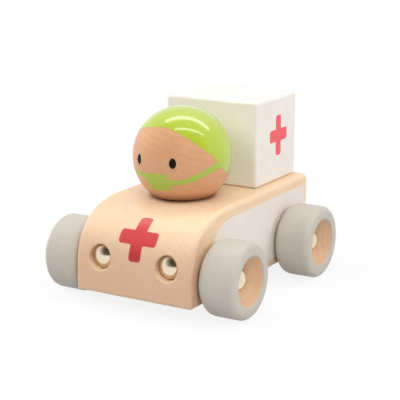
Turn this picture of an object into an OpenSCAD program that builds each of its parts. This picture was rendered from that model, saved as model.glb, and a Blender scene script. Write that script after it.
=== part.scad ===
// A wooden toy ambulance: a beech body with a curved bonnet, a white box on its deck,
// a ball-headed driver, four dished wheels on steel axles and two domed headlights.
// Millimetres. The ground is z = 0, the nose points along -Y and the car's left is +X.

/* [Body block] */
// Width across the flanks
body_w = 61; // [55:0.5:67]
// Length from nose to tail
body_l = 115; // [108:0.5:124]
// Height from the underside to the deck
body_h = 39.2; // [36:0.1:44]
// Length of the bonnet curve, nose to level deck
bonnet_l = 41; // [34:0.5:46]
// Height of the upright part of the nose
nose_h = 6.3; // [5:0.1:8]
// Squareness of the bonnet curve: 2 is an ellipse, larger is squarer
bonnet_power = 2.8; // [2.2:0.1:3.6]
// Radius of the outline's corners at the tail
corner_r = 3.2; // [2.5:0.1:4.5]
// Radius of the outline's corner under the nose
nose_corner_r = 1.6; // [0.8:0.1:3]
// Rounding of the flanks' edges over the nose, the deck and the tail
edge_r = 2.3; // [1:0.1:2.5]
// Rounding of the flanks' edges along the underside
under_edge_r = 0.8; // [0.4:0.1:1.5]

/* [Treatment box] */
// Width of the box
box_w = 50.2; // [44:0.2:56]
// Length of the box along the car
box_l = 41; // [34:0.5:46]
// Height of the box above the deck
box_h = 41.6; // [34:0.2:50]
// Distance from the back of the box to the tail
box_to_tail = 4; // [2:0.1:8]
// Rounding of the box's edges
box_edge_r = 1.6; // [0.5:0.1:3]

/* [Driver] */
// Diameter of the ball
head_d = 46.2; // [40:0.2:50]
// Height of the ball's centre above the deck
head_up = 18.7; // [16:0.1:20]
// Gap between the ball and the box
head_to_box = 3; // [1:0.1:6]

/* [Dowels] */
// Diameter of the dowels
dowel_d = 8; // [6:0.5:10]
// Depth of the driver's dowel in the body
head_dowel_down = 18; // [12:0.5:20]
// Depth of the driver's dowel in the ball
head_dowel_up = 20; // [12:0.5:24]
// Depth of a box dowel in the body and in the box
box_dowel_half = 14; // [8:0.5:18]
// Distance between the two box dowels
box_dowel_pitch = 20; // [14:0.5:22]
// Chamfer on the ends of a dowel
dowel_chamfer = 0.8; // [0.3:0.1:1.5]

/* [Wheels] */
// Diameter of a wheel
wheel_d = 35; // [32:0.2:38]
// Width of a wheel
wheel_w = 18.8; // [17:0.2:21]
// Rounding of a wheel's outer shoulder
shoulder_out_r = 4; // [2:0.1:4.5]
// Rounding of a wheel's inner shoulder
shoulder_in_r = 5; // [2:0.1:6]
// Diameter of the dish at the face of the wheel
dish_d = 23.6; // [20:0.2:24.4]
// Depth of the dish
dish_depth = 7; // [5:0.1:9]
// Rounding of the dish's lip
dish_lip_r = 1.2; // [0.4:0.1:1.6]
// Distance between the axles
wheelbase = 72.7; // [66:0.1:78]
// Distance from the nose to the front axle
front_overhang = 19.2; // [15:0.1:24]

/* [Axles and caps] */
// Diameter of an axle
axle_d = 4.5; // [3:0.1:5.5]
// Height of the axles above the underside
axle_up = 11.2; // [9:0.1:13]
// Diameter of a washer
washer_d = 14; // [9:0.5:18]
// Thickness of a washer
washer_t = 0.8; // [0.5:0.1:3]
// Diameter of a domed cap
cap_d = 10.7; // [9:0.1:12]
// Height of the straight rim of a domed cap
cap_rim_h = 0.6; // [0.3:0.1:1.5]
// Rise of the dome above its rim
cap_dome_h = 2.6; // [2:0.1:4]
// Depth of an axle's end in its cap
cap_grip = 2; // [1.2:0.1:2.2]

/* [Headlights] */
// Distance between the two headlights
light_pitch = 35.2; // [30:0.2:38]
// Height of the headlights above the underside
light_up = 16.8; // [14:0.1:19]
// Depth of a headlight's seat behind the skin of the nose
light_depth = 3.9; // [2:0.1:5]
// Width of the chamfer round a headlight's hole
light_lip = 0.8; // [0.2:0.1:1.2]
// Diameter of a headlight's shank
shank_d = 2.5; // [1.5:0.1:4]
// Length of a headlight's shank
shank_l = 12; // [8:0.5:14]

/* [Clearances] */
// Radial clearance of a wheel on its axle
axle_clearance = 0.08; // [0.02:0.01:0.1]
// Radial clearance of the ball on its dowel
swivel_clearance = 0.06; // [0.02:0.01:0.1]
// Side play of a wheel, and the gap under the ball
play = 0.3; // [0.2:0.05:0.5]
// Radial gap round a cap in its dish and round a headlight in its hole
cap_clearance = 0.4; // [0.3:0.05:0.9]
// Radial gap that a tight or glued pin leaves in its hole
tight_gap = 0.03; // [0.01:0.01:0.1]
// Radial clearance of a washer on its axle
washer_clearance = 0.3; // [0.1:0.05:0.6]

/* [Hidden] */

$fn = 96;
// How far a cut runs past the surface that it opens
overrun = 2;
// Steps along the bonnet curve, round a corner and round an edge
bonnet_steps = 28;
corner_steps = 6;
edge_steps = 6;
// The least radius that a corner keeps where an edge's rounding draws it in
least_r = 0.2;

// Heights
wheel_r = wheel_d / 2;
underside_z = wheel_r - axle_up;
deck_z = underside_z + body_h;

// Places along the car
nose_y = -body_l / 2;
tail_y = body_l / 2;
front_axle_y = nose_y + front_overhang;
rear_axle_y = front_axle_y + wheelbase;
box_back_y = tail_y - box_to_tail;
box_mid_y = box_back_y - box_l / 2;
head_y = box_back_y - box_l - head_to_box - head_d / 2;
head_z = deck_z + head_up;

// Places across the car, outward from a flank
flank_x = body_w / 2;
wheel_in_x = flank_x + washer_t + play;
wheel_out_x = wheel_in_x + wheel_w;
cap_x = wheel_out_x - dish_depth + play;
axle_end_x = cap_x + cap_grip;

// The bonnet is a quarter of a superellipse
bonnet_h = body_h - nose_h;
bonnet_y = nose_y + bonnet_l;
bonnet_z = underside_z + nose_h;
bonnet_share = 2 / bonnet_power;

// A headlight sits below the skin of the nose, which leans back at its height
light_z = underside_z + light_up;
light_rise_share = (light_z - bonnet_z) / bonnet_h;
light_skin_y = bonnet_y - bonnet_l * pow(1 - pow(light_rise_share, bonnet_power), 1 / bonnet_power);
light_seat_y = light_skin_y + light_depth;
light_hole_r = cap_d / 2 + cap_clearance;

// Points of an arc about a centre
function arc(centre, radius, from, to) =
    [for (i = [0 : corner_steps])
        let (a = from + (to - from) * i / corner_steps)
        centre + radius * [cos(a), sin(a)]];

// Points of the bonnet, from the nose up to the deck
function bonnet() =
    [for (i = [0 : bonnet_steps])
        let (a = 90 * i / bonnet_steps)
        [
            bonnet_y - bonnet_l * pow(cos(a), bonnet_share),
            bonnet_z + bonnet_h * pow(sin(a), bonnet_share)
        ]];

// The upper body seen from its side, length along x and height along y, run down past the underside
function upper_outline() = concat(
    [[nose_y, underside_z - edge_r - overrun]],
    bonnet(),
    arc([tail_y - corner_r, deck_z - corner_r], corner_r, 90, 0),
    [[tail_y, underside_z - edge_r - overrun]]
);

// The underside and its two corners, drawn in by one depth at the ends and another underneath
function lower_outline(ends, under) =
    let (front_r = max(nose_corner_r - ends, least_r), back_r = max(corner_r - ends, least_r))
    concat(
        arc([nose_y + ends + front_r, underside_z + under + front_r], front_r, 180, 270),
        arc([tail_y - ends - back_r, underside_z + under + back_r], back_r, 270, 360),
        [[tail_y - ends, deck_z], [nose_y + ends, deck_z]]
    );

// How far a rounding draws a face in, at a distance inside the flank
function drawn_in(radius, from_flank) =
    from_flank < radius ? radius - sqrt(pow(radius, 2) - pow(radius - from_flank, 2)) : 0;

// A solid with the side outline, its flanks rounded over all the way round, less along the underside
module soft_block() {
    hull()
        for (i = [0 : edge_steps]) {
            from_flank = edge_r * (1 - sin(90 * i / edge_steps));
            ends = drawn_in(edge_r, from_flank);
            rotate([90, 0, 90])
                linear_extrude(height = body_w - 2 * from_flank, center = true)
                    intersection() {
                        offset(delta = -ends)
                            polygon(upper_outline());
                        polygon(lower_outline(ends, drawn_in(under_edge_r, from_flank)));
                    }
        }
}

// A rectangle with rounded corners, centred
module soft_rectangle(width, height, radius) {
    square([width - 2 * radius, height], center = true);
    square([width, height - 2 * radius], center = true);
    for (x = [-1, 1])
        for (y = [-1, 1])
            translate([x * (width / 2 - radius), y * (height / 2 - radius)])
                circle(r = radius);
}

// A box with rounded edges, centred: three rounded outlines, one along each axis
module soft_box(width, length, height, radius) {
    intersection() {
        linear_extrude(height = height + 2 * overrun, center = true)
            soft_rectangle(width, length, radius);
        rotate([90, 0, 0])
            linear_extrude(height = length + 2 * overrun, center = true)
                soft_rectangle(width, height, radius);
        rotate([90, 0, 90])
            linear_extrude(height = width + 2 * overrun, center = true)
                soft_rectangle(length, height, radius);
    }
}

// A dowel standing on z = 0, with chamfered ends
module dowel(length) {
    cylinder(d1 = dowel_d - 2 * dowel_chamfer, d2 = dowel_d, h = dowel_chamfer);
    translate([0, 0, dowel_chamfer])
        cylinder(d = dowel_d, h = length - 2 * dowel_chamfer);
    translate([0, 0, length - dowel_chamfer])
        cylinder(d1 = dowel_d, d2 = dowel_d - 2 * dowel_chamfer, h = dowel_chamfer);
}

// A hole for a dowel, drilled down from z = 0
module dowel_hole(depth, gap) {
    translate([0, 0, -depth])
        cylinder(d = dowel_d + 2 * gap, h = depth + overrun);
}

// Half the section of a domed cap, standing on its rim
module dome_section() {
    dome_r = (pow(cap_d / 2, 2) + pow(cap_dome_h, 2)) / (2 * cap_dome_h);
    square([cap_d / 2, cap_rim_h]);
    intersection() {
        translate([0, cap_rim_h + cap_dome_h - dome_r])
            circle(r = dome_r);
        translate([0, cap_rim_h])
            square([cap_d / 2, cap_dome_h]);
    }
}

// Half the section of a wheel, inner face on y = 0: rounded shoulders, a bore and a dish with a rounded lip
module wheel_section() {
    bore_r = axle_d / 2 + axle_clearance;
    floor_r = cap_d / 2 + cap_clearance;
    floor_y = wheel_w - dish_depth;
    slope = atan2(dish_depth, dish_d / 2 - floor_r);
    lip = dish_lip_r * tan(slope / 2);
    difference() {
        union() {
            square([wheel_r - shoulder_out_r, wheel_w]);
            square([wheel_r - shoulder_in_r, wheel_w - shoulder_out_r]);
            translate([0, shoulder_in_r])
                square([wheel_r, wheel_w - shoulder_in_r - shoulder_out_r]);
            translate([wheel_r - shoulder_in_r, shoulder_in_r])
                circle(r = shoulder_in_r);
            translate([wheel_r - shoulder_out_r, wheel_w - shoulder_out_r])
                circle(r = shoulder_out_r);
        }
        translate([0, -overrun])
            square([bore_r, wheel_w + 2 * overrun]);
        polygon([
            [0, floor_y],
            [floor_r, floor_y],
            [dish_d / 2 - lip * cos(slope), wheel_w - lip * sin(slope)],
            [dish_d / 2 + lip, wheel_w],
            [dish_d / 2 + lip, wheel_w + overrun],
            [0, wheel_w + overrun]
        ]);
    }
    translate([dish_d / 2 + lip, wheel_w - dish_lip_r])
        circle(r = dish_lip_r);
}

// Puts what stands on z = 0 on a flank's side of the car: side is 1 for left, -1 for right
module on_axle(side, y, x) {
    translate([side * x, y, wheel_r])
        rotate([0, side * 90, 0])
            children();
}

module wheel(side, y) {
    color("gainsboro")
        on_axle(side, y, wheel_in_x)
            rotate_extrude()
                wheel_section();
}

module axle_cap(side, y) {
    color("lightsteelblue")
        on_axle(side, y, cap_x)
            difference() {
                rotate_extrude()
                    dome_section();
                translate([0, 0, -overrun])
                    cylinder(d = axle_d + 2 * tight_gap, h = cap_grip + overrun);
            }
}

module washer(side, y) {
    color("ivory")
        on_axle(side, y, flank_x)
            difference() {
                cylinder(d = washer_d, h = washer_t);
                translate([0, 0, -overrun])
                    cylinder(d = axle_d + 2 * washer_clearance, h = washer_t + 2 * overrun);
            }
}

module axle(y) {
    color("silver")
        on_axle(1, y, -axle_end_x)
            cylinder(d = axle_d, h = 2 * axle_end_x);
}

module headlight(side) {
    color("lightsteelblue")
        translate([side * light_pitch / 2, light_seat_y, light_z])
            rotate([90, 0, 0]) {
                rotate_extrude()
                    dome_section();
                translate([0, 0, -shank_l])
                    cylinder(d = shank_d, h = shank_l + cap_rim_h);
            }
}

// The hole that takes a headlight: a chamfered mouth, a flat seat and a hole for the shank
module headlight_hole(side) {
    translate([side * light_pitch / 2, light_seat_y, light_z])
        rotate([90, 0, 0]) {
            cylinder(r = light_hole_r, h = light_depth + overrun);
            translate([0, 0, light_depth - light_lip])
                cylinder(r1 = light_hole_r, r2 = light_hole_r + light_lip + overrun, h = light_lip + overrun);
            translate([0, 0, -shank_l - tight_gap])
                cylinder(d = shank_d + 2 * tight_gap, h = shank_l + light_depth);
        }
}

module body_block() {
    color("burlywood")
        difference() {
            soft_block();
            for (y = [front_axle_y, rear_axle_y])
                on_axle(1, y, -flank_x - overrun)
                    cylinder(d = axle_d + 2 * tight_gap, h = body_w + 2 * overrun);
            translate([0, head_y, deck_z])
                dowel_hole(head_dowel_down, tight_gap);
            for (side = [-1, 1])
                translate([0, box_mid_y + side * box_dowel_pitch / 2, deck_z])
                    dowel_hole(box_dowel_half, tight_gap);
            for (side = [-1, 1])
                headlight_hole(side);
        }
}

module treatment_box() {
    color("white")
        difference() {
            translate([0, box_mid_y, deck_z + box_h / 2])
                soft_box(box_w, box_l, box_h, box_edge_r);
            for (side = [-1, 1])
                translate([0, box_mid_y + side * box_dowel_pitch / 2, deck_z])
                    mirror([0, 0, 1])
                        dowel_hole(box_dowel_half, tight_gap);
        }
}

module driver_head() {
    color("yellowgreen")
        difference() {
            translate([0, head_y, head_z])
                sphere(d = head_d);
            translate([-head_d / 2, head_y - head_d / 2, deck_z + play - head_d])
                cube(head_d);
            translate([0, head_y, deck_z])
                mirror([0, 0, 1])
                    dowel_hole(head_dowel_up + play, swivel_clearance);
        }
}

module head_dowel() {
    color("tan")
        translate([0, head_y, deck_z - head_dowel_down])
            dowel(head_dowel_down + head_dowel_up);
}

module box_dowel(side) {
    color("tan")
        translate([0, box_mid_y + side * box_dowel_pitch / 2, deck_z - box_dowel_half])
            dowel(2 * box_dowel_half);
}

body_block();
treatment_box();
driver_head();
head_dowel();
box_dowel(-1);  // box_dowel_front
box_dowel(1);  // box_dowel_rear
axle(front_axle_y);  // front_axle
axle(rear_axle_y);  // rear_axle
wheel(1, front_axle_y);  // wheel_front_left
wheel(-1, front_axle_y);  // wheel_front_right
wheel(1, rear_axle_y);  // wheel_rear_left
wheel(-1, rear_axle_y);  // wheel_rear_right
axle_cap(1, front_axle_y);  // axle_cap_front_left
axle_cap(-1, front_axle_y);  // axle_cap_front_right
axle_cap(1, rear_axle_y);  // axle_cap_rear_left
axle_cap(-1, rear_axle_y);  // axle_cap_rear_right
washer(1, front_axle_y);  // washer_front_left
washer(-1, front_axle_y);  // washer_front_right
washer(1, rear_axle_y);  // washer_rear_left
washer(-1, rear_axle_y);  // washer_rear_right
headlight(1);  // headlight_left
headlight(-1);  // headlight_right
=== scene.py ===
# %% [markdown]
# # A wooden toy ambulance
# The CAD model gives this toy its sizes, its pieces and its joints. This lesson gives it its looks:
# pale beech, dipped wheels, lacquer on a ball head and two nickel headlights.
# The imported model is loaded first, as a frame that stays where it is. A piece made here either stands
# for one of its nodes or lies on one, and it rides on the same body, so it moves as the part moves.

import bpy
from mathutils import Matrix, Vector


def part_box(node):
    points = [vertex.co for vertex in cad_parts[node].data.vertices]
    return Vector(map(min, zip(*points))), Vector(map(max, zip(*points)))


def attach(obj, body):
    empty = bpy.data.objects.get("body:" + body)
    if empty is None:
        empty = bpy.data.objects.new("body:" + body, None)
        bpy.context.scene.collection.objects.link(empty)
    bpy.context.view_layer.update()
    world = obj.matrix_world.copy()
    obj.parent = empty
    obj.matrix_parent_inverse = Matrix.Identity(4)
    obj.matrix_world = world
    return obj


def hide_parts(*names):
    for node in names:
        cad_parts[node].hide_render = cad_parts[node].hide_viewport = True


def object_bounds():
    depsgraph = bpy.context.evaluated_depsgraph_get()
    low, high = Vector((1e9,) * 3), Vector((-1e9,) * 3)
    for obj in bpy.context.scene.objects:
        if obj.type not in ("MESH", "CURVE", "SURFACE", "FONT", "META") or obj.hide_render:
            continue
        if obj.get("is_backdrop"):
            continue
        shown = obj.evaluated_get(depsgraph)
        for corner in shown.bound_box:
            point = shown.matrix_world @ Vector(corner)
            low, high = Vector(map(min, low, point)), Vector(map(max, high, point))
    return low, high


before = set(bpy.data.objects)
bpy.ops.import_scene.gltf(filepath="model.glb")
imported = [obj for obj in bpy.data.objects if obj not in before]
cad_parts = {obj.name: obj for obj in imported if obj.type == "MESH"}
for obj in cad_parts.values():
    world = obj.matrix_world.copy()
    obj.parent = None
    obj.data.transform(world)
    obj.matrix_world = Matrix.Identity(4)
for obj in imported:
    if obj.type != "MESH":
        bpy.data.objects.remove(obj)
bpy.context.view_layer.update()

# %% [markdown]
# ## From points to a piece
# Every visible piece is a mesh of points and faces. Blender could start from a cube or a cylinder and
# add modifiers, but this toy has exact curves, so each mesh is worked out point by point instead.
# The points are in millimetres, which suit a toy, and become metres in one place. Points that coincide
# are welded, so the rest of the code can make each patch on its own and let the seams close here.

# %% Make a piece
import math

import bmesh
import bpy
import numpy as np
from mathutils import Vector
from mathutils.geometry import delaunay_2d_cdt

MM = 0.001
WELD = 0.001 * MM
CREASE = math.radians(35)


def measured(node):
    """The lowest and highest corner of a CAD node, in millimetres."""
    low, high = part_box(node)
    return low / MM, high / MM


def make_piece(name, points, faces, finish, body, slot, *nodes):
    """A smooth mesh that rides on a body and stands for the CAD nodes named last."""
    mesh = bpy.data.meshes.new(name)
    mesh.from_pydata([Vector(p) * MM for p in points], [], faces)
    work = bmesh.new()
    work.from_mesh(mesh)
    bmesh.ops.remove_doubles(work, verts=work.verts, dist=WELD)
    bmesh.ops.recalc_face_normals(work, faces=work.faces)
    work.to_mesh(mesh)
    work.free()
    mesh.shade_smooth()
    mesh.set_sharp_from_angle(angle=CREASE)
    mesh.materials.append(finish)
    piece = bpy.data.objects.new(name, mesh)
    bpy.context.scene.collection.objects.link(piece)
    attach(piece, body)
    if nodes:
        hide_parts(*nodes)
    print(f"{name}: {len(mesh.vertices)} points, {len(mesh.polygons)} faces, on {body}")
    return piece


print(f"points closer than {WELD / MM} mm are welded")

# %% [markdown]
# ## The camera
# The picture was taken from the car's front left, a little above, with a long lens that keeps the
# lines nearly parallel. The camera stands on a ball round a point inside the toy: one angle round it,
# one angle up, and a distance. Its focal length is written for a sensor 36 mm wide.

# %% Set the camera
AROUND, ABOVE = math.radians(30.596), math.radians(14.151)
LOOK_AT = Vector((2.575, -1.94, 40.51)) * MM
STAND_BACK = 590.67 * MM
LENS, SENSOR = 111.72, 36.0


def direction(around, above):
    """The unit vector at an angle round from the nose and an angle above the ground."""
    level = math.cos(above)
    return Vector((math.sin(around) * level, -math.cos(around) * level, math.sin(above)))


def look(thing, place, target):
    """Puts a camera or a lamp at a place, facing a target."""
    thing.location = place
    thing.rotation_euler = (target - place).to_track_quat("-Z", "Y").to_euler()
    bpy.context.scene.collection.objects.link(thing)


lens = bpy.data.cameras.new("camera")
lens.lens, lens.sensor_width = LENS, SENSOR
camera = bpy.data.objects.new("camera", lens)
look(camera, LOOK_AT + direction(AROUND, ABOVE) * STAND_BACK, LOOK_AT)
bpy.context.scene.camera = camera
print("camera at", tuple(round(c, 3) for c in camera.location))

# %% [markdown]
# ## Nodes
# The sky, the floor and the finishes are small trees of nodes: each node works something out, and a
# link carries it from an output socket to an input. Laying them out by hand in the shader editor is
# easy to see but hard to repeat, so a few helpers add a node, set it and join it in one line.

# %% Add nodes to a tree
def add(tree, kind, links=None, **settings):
    """One node, with sockets set by value and others joined to the sockets given in links."""
    made = tree.nodes.new("ShaderNode" + kind)
    for name, value in settings.items():
        if hasattr(made, name):
            setattr(made, name, value)
        else:
            made.inputs[name.replace("_", " ")].default_value = value
    for name, source in (links or {}).items():
        tree.links.new(source, made.inputs[name])
    return made


def faded(tree, source, ends, values=(0.0, 1.0)):
    """A socket that goes smoothly from one value to the other while the source goes between the ends."""
    fade = add(tree, "MapRange", {"Value": source}, interpolation_type="SMOOTHSTEP")
    fade.inputs["From Min"].default_value, fade.inputs["From Max"].default_value = ends
    fade.inputs["To Min"].default_value, fade.inputs["To Max"].default_value = values
    return fade.outputs["Result"]


def mixed(tree, share, first, second):
    """The first shader where the share is 0, the second where it is 1."""
    mix = add(tree, "MixShader")
    for socket, source in zip(mix.inputs, (share, first, second)):
        tree.links.new(source, socket)
    return mix.outputs[0]


def seen_directly(tree):
    """A socket that is 1 where the camera, a mirror or glass looks straight at the surface."""
    ray = add(tree, "LightPath").outputs
    either = add(tree, "Math", {0: ray["Is Camera Ray"], 1: ray["Is Glossy Ray"]}, operation="MAXIMUM")
    links = {0: either.outputs[0], 1: ray["Is Transmission Ray"]}
    return add(tree, "Math", links, operation="MAXIMUM").outputs[0]


print("node helpers:", [helper.__name__ for helper in (add, faded, mixed, seen_directly)])

# %% [markdown]
# ## The sky
# The toy was photographed on a white sweep. The world is plain white to the camera and in reflections,
# at a strength of 1, but it lights the toy only faintly, because the lamps do that. Metal needs
# something dark to mirror as well, or it looks like plaster. So one end of the room is dim and warm
# to mirror rays, and fades out softly round its middle.

# %% Make the sky
WHITE = (1.0, 1.0, 1.0, 1.0)
SKY_LIGHT = 0.02
DARK_LIGHT, DARK_TINT = 0.09, (1.0, 0.78, 0.6, 1.0)
DARK_MIDDLE = direction(math.radians(24), math.radians(38))
DARK_EDGES = [math.cos(math.radians(angle)) for angle in (78, 16)]


def in_dark_corner(tree):
    """A socket that is 1 where a mirror looks into the dark end of the room."""
    place = add(tree, "TexCoord").outputs["Generated"]
    near = add(tree, "VectorMath", {0: place}, operation="DOT_PRODUCT")
    near.inputs[1].default_value = DARK_MIDDLE
    share = faded(tree, near.outputs["Value"], DARK_EDGES)
    mirror = add(tree, "LightPath").outputs["Is Glossy Ray"]
    return add(tree, "Math", {0: share, 1: mirror}, operation="MULTIPLY").outputs[0]


sky = bpy.data.worlds.new("white sky")
sky.use_nodes = True
tree = sky.node_tree
soft = tree.nodes["Background"]
soft.inputs["Color"].default_value = WHITE
soft.inputs["Strength"].default_value = SKY_LIGHT
plain = add(tree, "Background", Color=WHITE, Strength=1.0)
dim = add(tree, "Background", Color=DARK_TINT, Strength=DARK_LIGHT)
bright_sky = mixed(tree, seen_directly(tree), soft.outputs[0], plain.outputs[0])
whole_sky = mixed(tree, in_dark_corner(tree), bright_sky, dim.outputs[0])
tree.links.new(whole_sky, tree.nodes["World Output"].inputs["Surface"])
bpy.context.scene.world = sky
print(f"{sky.name}: {SKY_LIGHT} of light, and {DARK_LIGHT} at its dim end")

# %% [markdown]
# ## The floor
# A white floor under lamps is never quite white, and its far edge would show as a line. So the floor
# glows at a strength of 1 to the camera and in reflections. Close to the toy it still mixes in a share
# of real light, so that the toy keeps its shadow, and what it throws back onto the toy is plain.

# %% Make the floor
FLOOR_GLOW = 0.86
SHADOW_NEAR, SHADOW_FAR = 0.07, 0.24
FLOOR_TONE = (0.93, 0.93, 0.93, 1.0)
FLOOR_BOUNCE = (0.6, 0.6, 0.6, 1.0)
FLOOR_HALF = 3.0


def make_sweep():
    """A matt white material that glows to the camera, a little less near the toy."""
    sweep = bpy.data.materials.new("white sweep")
    sweep.use_nodes = True
    tree = sweep.node_tree
    tree.nodes.remove(tree.nodes["Principled BSDF"])
    place = add(tree, "TexCoord").outputs["Object"]
    away = add(tree, "VectorMath", {0: place}, operation="LENGTH").outputs["Value"]
    glow_share = faded(tree, away, (SHADOW_NEAR, SHADOW_FAR), (FLOOR_GLOW, 1.0))
    glow = add(tree, "Emission", Color=WHITE, Strength=1.0)
    shaded = add(tree, "BsdfDiffuse", Color=FLOOR_TONE)
    bounce = add(tree, "BsdfDiffuse", Color=FLOOR_BOUNCE)
    seen = mixed(tree, glow_share, shaded.outputs[0], glow.outputs[0])
    both = mixed(tree, seen_directly(tree), bounce.outputs[0], seen)
    tree.links.new(both, tree.nodes["Material Output"].inputs["Surface"])
    return sweep


h = FLOOR_HALF
mesh = bpy.data.meshes.new("floor")
mesh.from_pydata([(-h, -h, 0), (h, -h, 0), (h, h, 0), (-h, h, 0)], [], [(0, 1, 2, 3)])
mesh.materials.append(make_sweep())
floor = bpy.data.objects.new("floor", mesh)
bpy.context.scene.collection.objects.link(floor)
floor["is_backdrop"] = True
print(f"floor of {2 * FLOOR_HALF} m, its shadow out to {SHADOW_FAR} m")

# %% [markdown]
# ## The lamps
# Two long tubes hang overhead, side by side, and the glossy hood shows each of them as a thin curved
# streak. Wide panels at both sides fill the flanks. A single large softbox would be simpler, but it
# would leave one flank dark. The panels are hidden from mirror rays, or the hood would show them as
# bright squares.

# %% Hang the lamps
CAR_SPOT = (0.0, 0.0, 0.03)
TUBE_TURN = math.radians(30)


def hang_lamp(name, place, target, size, watts, turn=0.0, shown=False):
    """A rectangular soft lamp at a place in metres, shown in glossy surfaces or hidden from them."""
    lamp = bpy.data.lights.new(name, "AREA")
    lamp.shape = "RECTANGLE"
    lamp.size, lamp.size_y = size
    lamp.energy = watts
    thing = bpy.data.objects.new(name, lamp)
    look(thing, Vector(place), Vector(target))
    thing.rotation_euler.rotate_axis("Z", turn)
    thing.visible_glossy = shown
    print(f"{name}: {watts} W over {size[0]} by {size[1]} m")


for name, (x, y, z), size, watts in (
    ("back tube", (0.05, 0.176, 0.564), (0.80, 0.10), 1.4),
    ("front tube", (0.235, -0.054, 0.564), (0.62, 0.05), 0.7),
):
    hang_lamp(name, (x, y, z), (x, y, 0.0), size, watts, TUBE_TURN, shown=True)
for name, place, size, watts in (
    ("left front panel", (0.48, -0.48, 0.42), (0.4, 0.4), 2.6),
    ("left back panel", (0.70, 0.30, 0.36), (0.5, 0.4), 2.0),
    ("right front panel", (-0.30, -0.52, 0.52), (0.4, 0.4), 1.75),
    ("right panel", (-0.75, -0.05, 0.32), (0.5, 0.4), 3.5),
):
    hang_lamp(name, place, CAR_SPOT, size, watts)

# %% [markdown]
# ## What every finish needs
# A finish is a colour that varies, a roughness that varies with it, and a bump. A painted texture image
# would need the mesh unwrapped, so all three come from noise that is read at each place in space, in
# millimetres. Colours are written as a screen shows them, from 0 to 255, which is how a picker does it.

# %% Mix a finish
NOISE_LOW, NOISE_HIGH = 0.25, 0.75
PATCH_LOW, PATCH_HIGH = 0.3, 0.7


def tone(red, green, blue):
    """A colour as a screen shows it, 0 to 255, turned into the light that Blender works with."""
    shares = [c / 255 for c in (red, green, blue)]
    light = [s / 12.92 if s <= 0.04045 else ((s + 0.055) / 1.055) ** 2.4 for s in shares]
    return (*light, 1.0)


def grey(share):
    """A plain grey, as a share of white."""
    return (share, share, share, 1.0)


def new_finish(name, **sockets):
    """A material with one principled shader. A socket that is the same all over is set here."""
    finish = bpy.data.materials.new(name)
    finish.use_nodes = True
    shader = finish.node_tree.nodes["Principled BSDF"]
    for socket, value in sockets.items():
        shader.inputs[socket.replace("_", " ")].default_value = value
    return finish, finish.node_tree, shader


def on_piece(tree):
    """The place on the piece, in metres."""
    return add(tree, "TexCoord").outputs["Object"]


def in_space(tree, stretch, shift=(0, 0, 0)):
    """Places on the piece in millimetres, shortened along the grain and shifted."""
    scale = [s / MM for s in stretch]
    return add(tree, "Mapping", {"Vector": on_piece(tree)}, Scale=scale, Location=shift).outputs["Vector"]


def along(tree, vector, axis):
    """One part of a vector, by the name of its axis."""
    return add(tree, "SeparateXYZ", {"Vector": vector}).outputs[axis]


def noise(tree, place, scale, detail, roughness):
    """Soft cloudy noise at a place."""
    made = add(tree, "TexNoise", {"Vector": place}, Scale=scale, Detail=detail, Roughness=roughness)
    return made.outputs["Fac"]


def ramp(tree, source, low_end, high_end):
    """A colour that runs from one (position, colour) to another."""
    made = add(tree, "ValToRGB", {"Fac": source})
    for mark, (position, colour) in zip(made.color_ramp.elements, (low_end, high_end)):
        mark.position, mark.color = position, colour
    return made.outputs["Color"]


def spread(tree, source, low, high):
    """A texture's middle range stretched to run from low to high."""
    made = add(tree, "MapRange", {"Value": source}, From_Min=NOISE_LOW, From_Max=NOISE_HIGH)
    made.inputs["To Min"].default_value, made.inputs["To Max"].default_value = low, high
    return made.outputs["Result"]


def blended(tree, share, colour, other, how="MIX"):
    """A colour that turns into another where the share is 1, or is multiplied by it."""
    mix = add(tree, "Mix", {"Factor": share, "A": colour}, data_type="RGBA", blend_type=how)
    mix.inputs["B"].default_value = other
    return mix.outputs["Result"]


def deepened(tree, colour, tint, share, *others):
    """The colour, multiplied by a tint where every share is 1."""
    for other in others:
        share = add(tree, "Math", {0: share, 1: other}, operation="MULTIPLY").outputs["Value"]
    return blended(tree, share, colour, tint, "MULTIPLY")


def join_finish(tree, shader, colour, roughness, height, strength, lift):
    """Joins a colour, a roughness and a bump of some height to the shader."""
    tree.links.new(colour, shader.inputs["Base Color"])
    tree.links.new(roughness, shader.inputs["Roughness"])
    bump = add(tree, "Bump", {"Height": height}, Strength=strength, Distance=lift)
    tree.links.new(bump.outputs["Normal"], shader.inputs["Normal"])


print("a middle grey of 128 is", round(tone(128, 128, 128)[0], 3), "of full light")

# %% [markdown]
# ## Wood
# The toy is beech: pale, close grained, with faint growth bands and short darker flecks. A picture of
# wood could be wrapped round each piece, but solid wood shows long grain on one face and end grain on
# the next. So the grain is a texture in space, read at each point of the surface: faint rings round a
# heart that lies outside the block, and noise that is stretched along the grain's direction. The same
# noise roughens the sheen and lifts the grain a little.
# Two things are laid over it. The sawn nose is end grain that drinks more oil. Its upright faces also get
# painted shade, because they stand in less light than the top; their facing and their place pick them out.
# And painted shade darkens the ball and the deck round the ball's foot, where the ball hangs over the deck.

# %% Wood finishes
GRAIN_LIFT = 0.05 * MM
GRAIN_STRETCH = 0.05
GRAIN_BUMP, GRAIN_SHEEN = 0.3, 0.05
HEART = (37, 29, 71)
FLECK_FROM, FLECK_FULL, FLECK_SHARE = 0.57, 0.72, 0.7
# The nose's upright faces: a deeper tone for the oiled end grain, together with painted shade.
NOSE_OIL_SHADE_LEVEL, NOSE_OIL_SHADE_FROM, NOSE_OIL_SHADE_TINT = (0.75, 0.15), (-40 * MM, -53 * MM), (0.86, 0.76, 0.77, 1.0)
head_low, head_high = measured("driver_head")
FOOT = Vector((0.0, (head_low.y + head_high.y) / 2, head_low.z)) * MM
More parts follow.
